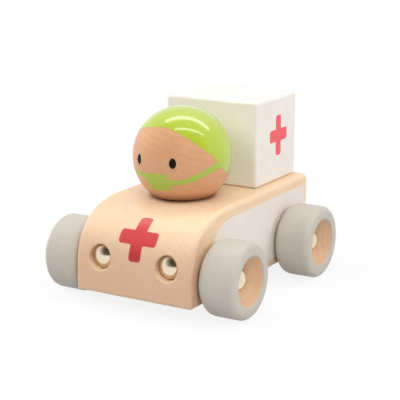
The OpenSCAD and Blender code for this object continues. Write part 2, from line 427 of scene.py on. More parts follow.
# Painted shade round the ball's foot, on the deck and low on the ball, where the ball hangs over the deck.
DECK_FOOT_SHADE = ((17.5 * MM, 14.0 * MM), (-6 * MM, -1 * MM), (0.48, 0.36, 0.29, 1.0))
BALL_FOOT_SHADE = ((60 * MM, 50 * MM), (5.5 * MM, 0.0), (0.58, 0.57, 0.57, 1.0))


def oiled_and_shaded(tree, colour, tint):
    """The colour, deeper where a face at the front of the block stands upright: oiled end grain, and painted
    shade.
    """
    facing = add(tree, "VectorMath", {0: add(tree, "TexCoord").outputs["Normal"]}, operation="ABSOLUTE")
    level = along(tree, facing.outputs["Vector"], "Z")
    forward = along(tree, on_piece(tree), "Y")
    return deepened(tree, colour, tint, faded(tree, level, NOSE_OIL_SHADE_LEVEL), faded(tree, forward, NOSE_OIL_SHADE_FROM))


def shaded_at_foot(tree, colour, reach, heights, tint):
    """Painted shade near the ball's foot: the colour, deeper within a reach round it and between two
    heights.
    """
    away = add(tree, "VectorMath", {0: on_piece(tree)}, operation="SUBTRACT")
    away.inputs[1].default_value = FOOT
    level = add(tree, "VectorMath", {0: away.outputs["Vector"]}, operation="MULTIPLY")
    level.inputs[1].default_value = (1, 1, 0)
    out = add(tree, "VectorMath", {0: level.outputs["Vector"]}, operation="LENGTH").outputs["Value"]
    up = along(tree, away.outputs["Vector"], "Z")
    return deepened(tree, colour, tint, faded(tree, out, reach), faded(tree, up, heights))


def wood(name, pale, deep, fleck, grain, sheen, bands, nose_oil_shade=None, foot_shade=None):
    """A wood with its grain along the named axis. Its nose may be deeper, as end grain and painted shade,
    and painted shade may darken it at the ball's foot.
    """
    finish, tree, shader = new_finish(name, IOR=1.45)
    stretch = [GRAIN_STRETCH if axis == grain else 1 for axis in "XYZ"]
    place = in_space(tree, stretch, HEART)
    rings = add(
        tree, "TexWave", {"Vector": place}, wave_type="RINGS", rings_direction=grain,
        Scale=0.1, Distortion=2.5, Detail=3.0, Detail_Scale=0.3,
    ).outputs["Fac"]
    streaks = noise(tree, place, scale=0.9, detail=6.0, roughness=0.62)
    flecks = noise(tree, place, scale=3.2, detail=2.0, roughness=0.5)
    both = add(tree, "Mix", {"A": rings, "B": streaks}, data_type="FLOAT", Factor=1 - bands)
    colour = ramp(tree, both.outputs["Result"], (NOISE_LOW, deep), (NOISE_HIGH, pale))
    dashes = ramp(tree, flecks, (FLECK_FROM, grey(0)), (FLECK_FULL, grey(FLECK_SHARE)))
    colour = blended(tree, dashes, colour, fleck)
    # the nose's upright faces: oiled end grain and painted shade
    if nose_oil_shade:
        colour = oiled_and_shaded(tree, colour, nose_oil_shade)
    # painted shade round the ball's foot
    if foot_shade:
        colour = shaded_at_foot(tree, colour, *foot_shade)
    roughness = spread(tree, streaks, sheen + GRAIN_SHEEN, sheen - GRAIN_SHEEN)
    join_finish(tree, shader, colour, roughness, streaks, GRAIN_BUMP, GRAIN_LIFT)
    return finish


beech = wood(
    "beech", tone(249, 222, 188), tone(243, 208, 169), tone(235, 197, 155), "Y",
    sheen=0.36, bands=0.06, nose_oil_shade=NOSE_OIL_SHADE_TINT, foot_shade=DECK_FOOT_SHADE,
)
wheel_beech = wood(
    "bare wheel beech", tone(226, 189, 155), tone(215, 176, 140), tone(202, 160, 122), "Z",
    sheen=0.55, bands=0.2,
)
head_beech = wood(
    "head beech", tone(225, 172, 132), tone(215, 158, 116), tone(206, 146, 104), "Y",
    sheen=0.34, bands=0.14, foot_shade=BALL_FOOT_SHADE,
)
dowel_beech = wood(
    "dowel beech", tone(240, 208, 170), tone(226, 192, 152), tone(208, 168, 126), "Z",
    sheen=0.6, bands=0.2,
)
print("wood finishes:", [m.name for m in (beech, wheel_beech, head_beech, dowel_beech)])

# %% [markdown]
# ## Paint
# Toy paint is sprayed or dipped and then cured: nearly even, but a touch deeper where it ran thick and
# thinner on an edge. Its skin has a very fine orange-peel that breaks up the sheen. One function gives
# each paint those three things. The hood's lacquer and the bonnet's red have a clear coat on top for
# gloss. That red is darkened towards its lower end by painted shade. The black of the eyes is dull.

# %% Paint finishes
PEEL_LIFT = 0.02 * MM
PEEL_BUMP, PEEL_SHEEN = 0.25, 0.04
EDGE_FROM, EDGE_FULL, EDGE_SHARE = 0.53, 0.60, 0.5
EVEN = (1, 1, 1)
PAINT_IOR, DULL_IOR = 1.47, 1.25
# Painted shade on the bonnet's red: darker towards its lower end, from 34 mm down to 25 mm above the ground.
RED_LOW_SHADE = ((34 * MM, 25 * MM), (0.72, 0.34, 0.36, 1.0))


def paint(name, bright, deep, thin, sheen, coat=0.0, coat_sheen=0.05, low_shade=None, ior=PAINT_IOR):
    """A paint in soft patches from bright to deep, and thin on edges. Painted shade may darken it towards
    the bottom.
    """
    finish, tree, shader = new_finish(name, IOR=ior, Coat_Weight=coat, Coat_Roughness=coat_sheen)
    place = in_space(tree, EVEN)
    patches = noise(tree, place, scale=0.09, detail=3.0, roughness=0.55)
    peel = noise(tree, place, scale=1.3, detail=2.0, roughness=0.5)
    colour = ramp(tree, patches, (PATCH_LOW, deep), (PATCH_HIGH, bright))
    edge = add(tree, "NewGeometry").outputs["Pointiness"]
    worn = ramp(tree, edge, (EDGE_FROM, grey(0)), (EDGE_FULL, grey(EDGE_SHARE)))
    colour = blended(tree, worn, colour, thin)
    # painted shade, darker towards the bottom
    if low_shade:
        heights, tint = low_shade
        up = along(tree, on_piece(tree), "Z")
        colour = deepened(tree, colour, tint, faded(tree, up, heights))
    roughness = spread(tree, peel, sheen - PEEL_SHEEN, sheen + PEEL_SHEEN)
    join_finish(tree, shader, colour, roughness, peel, PEEL_BUMP, PEEL_LIFT)
    return finish


white_paint = paint("white paint", tone(247, 240, 233), tone(243, 236, 229), tone(245, 230, 206), 0.5)
flank_paint = paint("flank paint", tone(247, 237, 230), tone(243, 233, 226), tone(245, 233, 224), 0.5)
grey_paint = paint("grey paint", tone(205, 199, 187), tone(200, 194, 182), tone(209, 204, 193), 0.46)
red_paint = paint(
    "red paint", tone(216, 60, 64), tone(209, 54, 58), tone(219, 70, 73), 0.46,
    coat=1.0, coat_sheen=0.24, low_shade=RED_LOW_SHADE,
)
box_red_paint = paint("box red paint", tone(246, 84, 91), tone(242, 78, 85), tone(247, 98, 103), 0.4)
lime_lacquer = paint(
    "lime lacquer", tone(180, 201, 42), tone(175, 196, 37), tone(184, 203, 52), 0.35,
    coat=1.0, coat_sheen=0.07,
)
mask_paint = paint("mask paint", tone(177, 199, 82), tone(171, 194, 76), tone(182, 202, 90), 0.45)
eye_paint = paint("eye paint", tone(24, 17, 14), tone(18, 13, 11), tone(36, 28, 24), 0.45, ior=DULL_IOR)
print("paints done, the glossiest of them", lime_lacquer.name)

# %% [markdown]
# ## Metal
# The caps and the headlights are pressed steel with a nickel plate, and the axle is drawn wire. Metal
# is mostly what it mirrors, so the finish is a metallic shader with a warm tint, a gloss that noise
# breaks up, and hair-fine marks. The axle and the washers are duller and carry deeper marks.

# %% Metal finishes
MARK_DEPTH = 0.01 * MM
DULLER, GLOSSIER = 0.04, 0.03
ALONG_X = (0.05, 1, 1)


def metal(name, bright, deep, gloss, stretch, marks):
    """A metal with fine marks along the axis that stretch shortens."""
    finish, tree, shader = new_finish(name, Metallic=1.0)
    place = in_space(tree, stretch)
    cloud = noise(tree, place, scale=0.5, detail=4.0, roughness=0.6)
    fine = noise(tree, place, scale=6.0, detail=3.0, roughness=0.6)
    colour = ramp(tree, cloud, (PATCH_LOW, deep), (PATCH_HIGH, bright))
    roughness = spread(tree, cloud, gloss - GLOSSIER, gloss + DULLER)
    join_finish(tree, shader, colour, roughness, fine, marks, MARK_DEPTH)
    return finish


nickel = metal("nickel", tone(238, 222, 196), tone(231, 214, 188), 0.13, EVEN, 0.03)
axle_steel = metal("axle steel", tone(196, 196, 196), tone(176, 176, 178), 0.3, ALONG_X, 0.3)
washer_steel = metal("washer steel", tone(204, 203, 200), tone(184, 183, 181), 0.34, EVEN, 0.25)
print("metals:", nickel.name, axle_steel.name, washer_steel.name)

# %% [markdown]
# ## Outlines with rounded corners
# Turned sections, painted marks and panels all start as a flat outline with softened corners. A
# drawing program does this with a fillet. Here a corner is given as a place and a radius, and becomes
# an arc that touches both of its sides.

# %% Round the corners
ARC_STEPS = 10


def softened(corners, steps=ARC_STEPS):
    """Points of a closed outline whose corners, each (a, b, radius), are rounded to arcs."""
    points = []
    for i, (a, b, radius) in enumerate(corners):
        here = Vector((a, b))
        if radius == 0:
            points.append(tuple(here))
            continue
        back = (Vector(corners[i - 1][:2]) - here).normalized()
        ahead = (Vector(corners[(i + 1) % len(corners)][:2]) - here).normalized()
        half = math.acos(max(-1.0, min(1.0, back.dot(ahead)))) / 2
        centre = here + (back + ahead).normalized() * (radius / math.sin(half))
        start = here + back * (radius / math.tan(half)) - centre
        end = here + ahead * (radius / math.tan(half)) - centre
        sweep = math.atan2(start.x * end.y - start.y * end.x, start.dot(end))
        for k in range(steps + 1):
            turn = sweep * k / steps
            c, s = math.cos(turn), math.sin(turn)
            points.append((centre.x + start.x * c - start.y * s, centre.y + start.x * s + start.y * c))
    return points


trial_square = softened([(0, 0, 1), (4, 0, 1), (4, 4, 1), (0, 4, 1)])
print("a softened square has", len(trial_square), "points")

# %% [markdown]
# ## Filling an outline
# A coat of paint on a curved surface needs points inside its outline too, or it would bridge the curve.
# Blender's fill tools make long thin triangles, so the outline is laid on a grid of inner points and
# all of them go through a Delaunay triangulation, which keeps the outline's edges. Triangles whose
# middle lies outside the outline, or in one of its holes, are dropped.

# %% Fill an outline
SLACK = 0.001
CLEAR_SHARE = 0.6
SAME_POINT = 1e-7


def stepped(ring, spacing, closed=True):
    """A ring or an open path with points added so that no step is longer than the spacing."""
    points = []
    for here, after in zip(ring, [*ring[1:], ring[0]] if closed else ring[1:]):
        cuts = max(1, math.ceil(math.dist(here, after) / spacing - SLACK))
        points += [
            (here[0] + (after[0] - here[0]) * k / cuts, here[1] + (after[1] - here[1]) * k / cuts)
            for k in range(cuts)
        ]
    return points if closed else [*points, ring[-1]]


def inside(points, rings):
    """Which points lie in the first ring and in none of the others, by counting crossings."""
    x, y = points[:, :1], points[:, 1:]
    odd = np.zeros(len(points), bool)
    for ring in rings:
        a = np.array(ring, float)
        b = np.roll(a, -1, axis=0)
        level = np.where(b[:, 1] == a[:, 1], 1.0, b[:, 1] - a[:, 1])
        meets = a[:, 0] + (y - a[:, 1]) / level * (b[:, 0] - a[:, 0])
        crossed = ((a[:, 1] > y) != (b[:, 1] > y)) & (x < meets)
        odd ^= crossed.sum(axis=1) % 2 == 1
    return odd


def inner_grid(rings, edge_points, spacing):
    """Points on a square grid inside the rings, none of them close to an edge."""
    low, high = edge_points.min(axis=0) + spacing / 2, edge_points.max(axis=0)
    across, up = np.meshgrid(*(np.arange(a, b, spacing) for a, b in zip(low, high)))
    grid = np.c_[across.ravel(), up.ravel()]
    grid = grid[inside(grid, rings)] if len(grid) else grid
    if len(grid):
        gap = np.sqrt(((grid[:, None] - edge_points[None]) ** 2).sum(axis=2)).min(axis=1)
        grid = grid[gap > CLEAR_SHARE * spacing]
    return grid


def filled(rings, spacing):
    """Flat points and triangles that fill the first ring and leave the others open."""
    rings = [stepped(ring, spacing) for ring in rings]
    edge_points = np.array([p for ring in rings for p in ring], float)
    edges, first = [], 0
    for ring in rings:
        edges += [(first + k, first + (k + 1) % len(ring)) for k in range(len(ring))]
        first += len(ring)
    points = [Vector(p) for p in (*edge_points, *inner_grid(rings, edge_points, spacing))]
    found = delaunay_2d_cdt(points, edges, [], 0, SAME_POINT, False)
    flat, triangles = np.array([tuple(v) for v in found[0]]), np.array(found[2])
    return flat, triangles[inside(flat[triangles].mean(axis=1), rings)]


def coat(rings, spacing, surface, lift, sink):
    """A closed thin coat: surface(a, b, height) carries the flat points onto what is painted."""
    flat, triangles = filled(rings, spacing)
    count = len(flat)
    points = [surface(a, b, lift) for a, b in flat] + [surface(a, b, -sink) for a, b in flat]
    faces = [tuple(t) for t in triangles.tolist()]
    open_edges = set()
    for t in faces:
        for a, b in zip(t, (t[1], t[2], t[0])):
            if (b, a) in open_edges:
                open_edges.remove((b, a))
            else:
                open_edges.add((a, b))
    faces += [(c + count, b + count, a + count) for a, b, c in faces]
    faces += [(a, a + count, b + count, b) for a, b in sorted(open_edges)]
    return points, faces


print("filled every millimetre, that square has", len(filled([trial_square], 1.0)[1]), "triangles")

# %% [markdown]
# ## The body block
# The body is one block of beech, sawn to a long soft bonnet and rounded over along every edge. Cutting
# the headlight holes with a boolean would leave ragged faces on the curve, so the skin is built in
# patches instead. The side outline is walked by its length: a superellipse for the bonnet, then the
# deck, the tail and the underside. The front of the skin is filled round its two holes, and the rest
# is a plain grid. Rows of points roll the skin over onto the flanks.

# %% Draw the body's side outline
body_low, body_high = measured("body_block")
HALF_WIDE = body_high.x
CORNER_R, NOSE_CORNER_R = 3.2, 1.6
BONNET_LONG, BONNET_POWER, NOSE_UP = 41.0, 2.8, 6.3
BONNET_STEPS = 400
ARC_POINTS = ARC_STEPS + 1
DECK_AT = ARC_POINTS + BONNET_STEPS
SKIN_REACH = 0.25
bonnet_tall = body_high.z - body_low.z - NOSE_UP
bonnet_mid = (body_low.y + BONNET_LONG, body_low.z + NOSE_UP)


def corner_arc(y, z, radius, start, end):
    """Points of a corner's arc, its angles in degrees."""
    angles = [math.radians(start + (end - start) * k / ARC_STEPS) for k in range(ARC_POINTS)]
    return [(y + radius * math.cos(a), z + radius * math.sin(a)) for a in angles]


def superellipse(share):
    """A point of the bonnet, from the nose at 0 to the deck at 1."""
    turn = share * math.pi / 2
    power = 2 / BONNET_POWER
    return (
        bonnet_mid[0] - BONNET_LONG * max(0.0, math.cos(turn)) ** power,
        bonnet_mid[1] + bonnet_tall * max(0.0, math.sin(turn)) ** power,
    )


tail_y = body_high.y - CORNER_R
outline = [
    *corner_arc(body_low.y + NOSE_CORNER_R, body_low.z + NOSE_CORNER_R, NOSE_CORNER_R, 270, 180),
    *[superellipse(k / BONNET_STEPS) for k in range(BONNET_STEPS + 1)],
    *corner_arc(tail_y, body_high.z - CORNER_R, CORNER_R, 90, 0),
    *corner_arc(tail_y, body_low.z + CORNER_R, CORNER_R, 0, -90),
]
outline = np.array(outline + outline[:1])
walked = np.r_[0, np.cumsum(np.hypot(*np.diff(outline, axis=0).T))]


def at_walk(walk):
    """The place (y, z) at a length along the side outline."""
    return np.interp(walk, walked, outline[:, 0]), np.interp(walk, walked, outline[:, 1])


def on_outline(walk):
    """The place (y, z) and the outward direction at a length along the side outline."""
    y, z = at_walk(walk)
    before_y, before_z = at_walk((walk - SKIN_REACH) % walked[-1])
    after_y, after_z = at_walk((walk + SKIN_REACH) % walked[-1])
    ty, tz = after_y - before_y, after_z - before_z
    size = math.hypot(ty, tz)
    return y, z, -tz / size, ty / size


def skin(x, walk, height):
    """A point on the block's skin, or a height above it."""
    y, z, out_y, out_z = on_outline(walk)
    return (x, y + out_y * height, z + out_z * height)


arc_end, deck_start = walked[ARC_POINTS - 1], walked[DECK_AT]
print(f"side outline: {walked[-1]:.1f} mm round, bonnet from {arc_end:.1f} to {deck_start:.1f} mm")

# %% [markdown]
# ## The headlight holes
# Each headlight sits at the bottom of a plain drilled hole with a softened mouth. The nose leans back,
# so the mouth isn't quite flat: each ring of points takes its depth from the skin at its own height.
# The rings go down a small rounded lip, then down the wall, and close on the flat seat.

# %% Build the skin and the headlight holes
LIP_R, LIP_STEPS = 0.8, 5
HOLE_GAP, HOLE_STEPS = 0.4, 72
RIM_H, DOME_H = 0.9, 2.3
EDGE_R = 2.3
ACROSS_POINTS, FRONT_POINTS, FRONT_SPACING = 37, 65, 1.6
NOSE = slice(ARC_POINTS - 1, DECK_AT + 1)


def light_place(side):
    """The middle of a headlight's seat."""
    low, high = measured("headlight_" + side)
    return Vector(((low.x + high.x) / 2, low.y + RIM_H + DOME_H, (low.z + high.z) / 2))


def walk_at(z):
    """The length along the outline at a height on the nose."""
    return float(np.interp(z, outline[NOSE, 1], walked[NOSE]))


def hole_ring(seat, radius, depth):
    """A ring of points round a hole, at a depth under the skin."""
    points = []
    for k in range(HOLE_STEPS):
        turn = 2 * math.pi * k / HOLE_STEPS
        x, z = seat.x + radius * math.cos(turn), seat.z + radius * math.sin(turn)
        points.append((x, on_outline(walk_at(z))[0] + depth, z))
    return points


def hole_outline(seat, radius):
    """The same ring as (x, length along the outline)."""
    return [(x, walk_at(z)) for x, y, z in hole_ring(seat, radius, 0)]


def ring_faces(first, count, rows):
    """Faces between closed rings of points that follow each other."""
    faces = []
    for start in range(first, first + (rows - 1) * count, count):
        for k in range(count):
            here, after = start + k, start + (k + 1) % count
            faces.append((here, after, after + count, here + count))
    return faces


light_low, light_high = measured("headlight_left")
hole_r = (light_high.x - light_low.x) / 2 + HOLE_GAP
half_flat = HALF_WIDE - EDGE_R
columns = np.linspace(-half_flat, half_flat, ACROSS_POINTS)
front_rows = np.linspace(arc_end, deck_start, FRONT_POINTS)
front_ring = [
    *[(x, front_rows[0]) for x in columns[:-1]],
    *[(half_flat, s) for s in front_rows[:-1]],
    *[(x, front_rows[-1]) for x in columns[:0:-1]],
    *[(-half_flat, s) for s in front_rows[:0:-1]],
]
seats = [light_place("left"), light_place("right")]
mouths = [hole_outline(seat, hole_r + LIP_R) for seat in seats]
flat, triangles = filled([front_ring, *mouths], FRONT_SPACING)
body_points = [skin(x, walk, 0) for x, walk in flat]
body_faces = [tuple(t) for t in triangles.tolist()]
for seat in seats:
    first = len(body_points)
    lips = [math.pi / 2 * k / LIP_STEPS for k in range(LIP_STEPS + 1)]
    rings = [hole_ring(seat, hole_r + LIP_R * (1 - math.sin(t)), LIP_R * (1 - math.cos(t))) for t in lips]
    rings += [[(x, seat.y, z) for x, y, z in rings[-1]]]
    body_points += [p for ring in rings for p in ring]
    body_faces += ring_faces(first, HOLE_STEPS, len(rings))
    body_faces.append(tuple(range(len(body_points) - HOLE_STEPS, len(body_points))))
print(f"front skin: {len(body_faces)} faces round holes {2 * hole_r:.1f} mm across")

# %% [markdown]
# ## Rolling the edges over
# Along its flanks the block is rounded over, widely over the nose, deck and tail and only a little
# underneath. A bevel modifier could do it, but it would pinch on the small corner arcs. So each row of
# the roll repeats the side outline, drawn in along its own outward direction by a cosine and moved out
# sideways by a sine. The two lower corners change from one radius to the other along their arc.

# %% Roll an edge
UNDER_EDGE_R, LEAST_R = 0.8, 0.2
rear_arcs = list(walked[DECK_AT + 1 : DECK_AT + 1 + 2 * ARC_POINTS])
low_arc_start, low_arc_end = rear_arcs[ARC_POINTS], rear_arcs[-1]


def roll_share(walk):
    """1 where the edge is rounded widely, 0 along the underside, and between on the lower corners."""
    return float(np.interp(walk, [0, arc_end, low_arc_start, low_arc_end], [0, 1, 1, 0]))


def rolled(side, walk, turn):
    """A point of the rounded edge, from the skin at a turn of 0 to the flank at a quarter turn."""
    share = roll_share(walk)
    x = side * (HALF_WIDE - (UNDER_EDGE_R + (EDGE_R - UNDER_EDGE_R) * share) * (1 - math.sin(turn)))
    ends, under = EDGE_R * (1 - math.cos(turn)), UNDER_EDGE_R * (1 - math.cos(turn))
    if arc_end <= walk <= low_arc_start:
        return skin(x, walk, -ends)
    if walk > low_arc_end:
        return (x, on_outline(walk)[0], body_low.z + under)
    lean = math.pi / 2 * (1 - share)
    if walk < arc_end:
        radius = max(NOSE_CORNER_R - ends, LEAST_R)
        y = body_low.y + ends + radius * (1 - math.cos(lean))
    else:
        radius = max(CORNER_R - ends, LEAST_R)
        y = body_high.y - ends - radius * (1 - math.cos(lean))
    return (x, y, body_low.z + under + radius * (1 - math.sin(lean)))


print(f"edges of {EDGE_R} mm above and {UNDER_EDGE_R} mm below")

# %% [markdown]
# ## Closing the body
# The deck, the tail and the underside carry on from the front as plain rows of points. Then each flank
# gets the rows of its roll and one flat face. That flat face is large and the roll's faces are small, so
# averaged normals would bend the shading of the flat; weighted normals keep it steady.

# %% Close the body
ROLL_STEPS = 8
DECK_ROWS, TAIL_ROWS, UNDER_ROWS = 24, 10, 30
FLAT_WEIGHT = 100


def evenly(start, end, steps):
    """Lengths along the outline between two places, without the last one."""
    return list(np.linspace(start, end, steps, endpoint=False))


def keep_flats_flat(piece):
    """Large flat faces decide the shading at their edges, so that roundings don't bend it."""
    even = piece.modifiers.new("even shading", "WEIGHTED_NORMAL")
    even.keep_sharp = True
    even.weight = FLAT_WEIGHT


back_rows = [
    *evenly(deck_start, rear_arcs[0], DECK_ROWS),
    *rear_arcs[:ARC_POINTS],
    *evenly(rear_arcs[ARC_POINTS - 1], rear_arcs[ARC_POINTS], TAIL_ROWS)[1:],
    *rear_arcs[ARC_POINTS:],
    *evenly(rear_arcs[-1], walked[-1], UNDER_ROWS)[1:],
    *[w + walked[-1] for w in walked[:ARC_POINTS]],
]
wide = len(columns)
for row, walk in enumerate(back_rows):
    reach = rolled(1, walk % walked[-1], 0)[0] / half_flat
    first = len(body_points)
    body_points += [skin(x * reach, walk % walked[-1], 0) for x in columns]
    if row > 0:
        body_faces += [(k - wide, k - wide + 1, k + 1, k) for k in range(first, first + wide - 1)]
loop = [*front_rows[:-1], *[w % walked[-1] for w in back_rows[:-1]]]
for side in (-1, 1):
    first = len(body_points)
    for step in range(ROLL_STEPS + 1):
        turn = math.pi / 2 * step / ROLL_STEPS
        body_points += [rolled(side, walk, turn) for walk in loop]
    body_faces += ring_faces(first, len(loop), ROLL_STEPS + 1)
    body_faces.append(tuple(range(len(body_points) - len(loop), len(body_points))))
body = make_piece("body", body_points, body_faces, beech, "chassis", "beech", "body_block")
keep_flats_flat(body)

# %% [markdown]
# ## White flanks
# Each flank carries a white panel that stops short of the edges, so a border of bare wood shows all
# round, and its front corner follows the bonnet in a wide arc. Painting it by a mask in the shader
# would blur on export. A real coat has a thickness, and here it is a closed film, a tenth of a
# millimetre thick, that starts a little inside the wood.

# %% Paint the flanks
FILM, BITE = 0.06, 0.05
PANEL_LOW, PANEL_HIGH = 10.1, 40.15
PANEL_FRONT, PANEL_BACK = -40.5, 54.2
PANEL_TOE_R, PANEL_BACK_R, PANEL_BONNET_R = 3.0, 2.0, 18.5
PANEL_SPACING = 6.0


def paint_both_sides(name, ring, half_wide, spacing, finish, slot):
    """The same coat on the left and the right of the car, at half its width from the middle."""
    for side, flank in ((1, "left"), (-1, "right")):
        points, faces = coat([ring], spacing, lambda y, z, h: (side * (half_wide + h), y, z), FILM, BITE)
        make_piece(f"{name}_{flank}", points, faces, finish, "chassis", slot)


panel = softened(
    [
        (PANEL_FRONT, PANEL_LOW, PANEL_TOE_R),
        (PANEL_BACK, PANEL_LOW, PANEL_BACK_R),
        (PANEL_BACK, PANEL_HIGH, PANEL_BACK_R),
        (PANEL_FRONT, PANEL_HIGH, PANEL_BONNET_R),
    ]
)
paint_both_sides("flank_paint", panel, HALF_WIDE, PANEL_SPACING, flank_paint, "white_paint")

# %% [markdown]
# ## The treatment box
# A white block stands on the deck behind the driver, its edges eased by sandpaper and paint. It starts
# as a cube of the CAD node's size and bmesh bevels all of its edges in one go. The flat sides then
# need steady shading right up to the rounding, which the weighted normals give.

# %% Make the treatment box
BOX_EDGE_R, BOX_EDGE_STEPS = 1.6, 8
box_low, box_high = measured("treatment_box")
work = bmesh.new()
bmesh.ops.create_cube(work, size=1.0)
for corner in work.verts:
    corner.co = [low + (high - low) * (c + 0.5) for low, high, c in zip(box_low, box_high, corner.co)]
bmesh.ops.bevel(
    work, geom=work.edges[:], offset=BOX_EDGE_R, segments=BOX_EDGE_STEPS, profile=0.5, affect="EDGES"
)
work.verts.index_update()
box_points = [tuple(v.co) for v in work.verts]
box_faces = [tuple(v.index for v in f.verts) for f in work.faces]
work.free()
box = make_piece(
    "treatment_box_painted", box_points, box_faces, white_paint, "chassis", "white_paint", "treatment_box"
)
keep_flats_flat(box)

# %% [markdown]
# ## The plus marks
# A red plus with rounded arms marks the bonnet and both sides of the box. The same outline serves all
# three. On the box it lies flat. On the bonnet it has to wrap over the curve, so its height is taken
# as a length along the side outline, and the coat's inner points let it bend with the wood.

# %% Paint the plus marks
INNER_R, PLUS_STEPS = 0.5, 6
BONNET_PLUS_X, BONNET_PLUS_Z, BONNET_SPACING = 0.9, 34.0, 0.8
BOX_PLUS_AT, BOX_SPACING = (34.7, 68.1), 3.0


def plus(a, b, wide, tall, arm_across, arm_up, radius):
    """A plus about (a, b): its full width and height, and the thickness of each arm."""
    w, t, u, v = wide / 2, tall / 2, arm_up / 2, arm_across / 2
    corners = [
        (u, v), (w, v), (w, -v), (u, -v), (u, -t), (-u, -t),
        (-u, -v), (-w, -v), (-w, v), (-u, v), (-u, t), (u, t),
    ]
    inner = {0, 3, 6, 9}
    rounded = [(a + p, b + q, INNER_R if k in inner else radius) for k, (p, q) in enumerate(corners)]
    return softened(rounded, PLUS_STEPS)


bonnet_plus = plus(
    BONNET_PLUS_X, walk_at(BONNET_PLUS_Z), wide=19.6, tall=22.2, arm_across=7.0, arm_up=6.2, radius=1.6
)
points, faces = coat([bonnet_plus], BONNET_SPACING, skin, FILM, BITE)
make_piece("bonnet_plus", points, faces, red_paint, "chassis", "red_paint")
box_plus = plus(*BOX_PLUS_AT, wide=17.6, tall=19.7, arm_across=6.0, arm_up=5.2, radius=1.5)
paint_both_sides("box_plus", box_plus, box_high.x, BOX_SPACING, box_red_paint, "red_paint")

# %% [markdown]
# ## Turning on a lathe
# The ball, the wheels, the caps and the headlights are all turned. Blender's screw modifier would do,
# but a few lines that carry a profile round an axis give points that can be welded at the pole and
# placed straight in the frame.

# %% Turn a profile
TURN_STEPS = 160


def turned(profile, origin, axis, closed=True, steps=TURN_STEPS):
    """Points and faces of a profile of (radius, length along the axis) carried round the axis."""
    axis = Vector(axis)
    across = axis.orthogonal().normalized()
    other = axis.cross(across)
    points, count = [], len(profile)
    for k in range(steps):
        turn = 2 * math.pi * k / steps
        out = across * math.cos(turn) + other * math.sin(turn)
        points += [Vector(origin) + out * r + axis * h for r, h in profile]
    faces = []
    for k in range(steps):
        here, after = k * count, (k + 1) % steps * count
        for n in range(count if closed else count - 1):
            up = (n + 1) % count
            faces.append((here + n, here + up, after + up, after + n))
    return points, faces


print("a profile is carried round in", TURN_STEPS, "steps")

# %% [markdown]
# ## The driver's head
# The head is a turned ball with a flat sawn under it, held to the deck by a dowel on which it turns.
# Its profile is half a circle from the pole down to the flat, with the edge between them rounded by a
# small circle that touches both, and a bore up from the flat leaves room for the dowel. The wood is
# stained a warm peach.

# %% Turn the head
BALL_R, BASE_R, BORE_GAP = 23.1, 2.0, 0.06
BALL_POINTS, BASE_POINTS = 90, 10
ball = Vector((0.0, (head_low.y + head_high.y) / 2, head_high.z - BALL_R))
base = head_low.z - ball.z
round_up = base + BASE_R
round_out = math.sqrt((BALL_R - BASE_R) ** 2 - round_up**2)
touch = math.asin(round_up / (BALL_R - BASE_R))
down_ball = np.linspace(math.pi / 2, touch, BALL_POINTS)
under_ball = np.linspace(touch, -math.pi / 2, BASE_POINTS)[1:]
pin_low, pin_high = measured("head_dowel")
bore_r = (pin_high.x - pin_low.x) / 2 + BORE_GAP
bore_top = pin_high.z - ball.z + BORE_GAP
head_profile = [
    *[(BALL_R * math.cos(t), BALL_R * math.sin(t)) for t in down_ball],
    *[(round_out + BASE_R * math.cos(t), round_up + BASE_R * math.sin(t)) for t in under_ball],
    (bore_r, base),
    (bore_r, bore_top),
    (0.0, bore_top),
]
print(f"ball of {2 * BALL_R:.1f} mm, its flat {2 * round_out:.1f} mm across")
points, faces = turned(head_profile, ball, (0, 0, 1), closed=False)
make_piece("head", points, faces, head_beech, "driver", "driver_wood", "driver_head")

# %% [markdown]
# ## Paint on a ball
# The outlines on the ball are drawn as a painter would see them, in degrees round from straight ahead
# and degrees up, with smooth curves between the given points. A globe can't be laid flat without
# stretching, so each outline is spread round its own middle, as a map of the pole is, filled there and
# carried back onto the ball.

# %% Paint on a ball
CURVE_STEPS = 6


def curve_through(points):
    """A smooth curve through points."""
    made = []
    ends = [points[0], *points, points[-1]]
    for p0, p1, p2, p3 in zip(ends, ends[1:], ends[2:], ends[3:]):
        for k in range(CURVE_STEPS):
            t = k / CURVE_STEPS
            made.append(
                tuple(
                    b + 0.5 * t * (c - a + t * (2 * a - 5 * b + 4 * c - d + t * (3 * (b - c) + d - a)))
                    for a, b, c, d in zip(p0, p1, p2, p3)
                )
            )
    return [*made, points[-1]]


def paint_ball(name, degrees, finish, slot, lift, spacing, middle=None):
    """A coat on the ball inside an outline of (degrees round, degrees up)."""
    spots = [direction(math.radians(a), math.radians(b)) for a, b in degrees]
    pole = direction(*map(math.radians, middle)) if middle else sum(spots, Vector()).normalized()
    east = Vector((0, 0, 1)).cross(pole).normalized()
    north = pole.cross(east)

    def spread_out(spot):
        """A spot on the ball, laid flat round the pole."""
        away = math.degrees(pole.angle(spot))
        flat_part = Vector((spot.dot(east), spot.dot(north)))
        return tuple(flat_part.normalized() * away)

    def back_on_ball(a, b, height):
        """A flat spot, carried back to a height above the ball."""
        away = math.hypot(a, b)
        turn = math.radians(away)
        aside = (east * a + north * b) / away if away > 0 else east
        return ball + (pole * math.cos(turn) + aside * math.sin(turn)) * (BALL_R + height)

    points, faces = coat([[spread_out(s) for s in spots]], spacing, back_on_ball, lift, BITE)
    make_piece(name, points, faces, finish, "driver", slot)


print("a curve through 3 points has", len(curve_through([(0, 0), (1, 1), (2, 0)])), "points")

# %% [markdown]
# ## The hood and the face
# The driver wears a lime hood, whose edge runs from the forehead down past both cheeks and round the
# nape, and a mask on two straps. Two oval dots make the eyes. The films differ a little in height, so
# that where one lies over another the upper one shows.

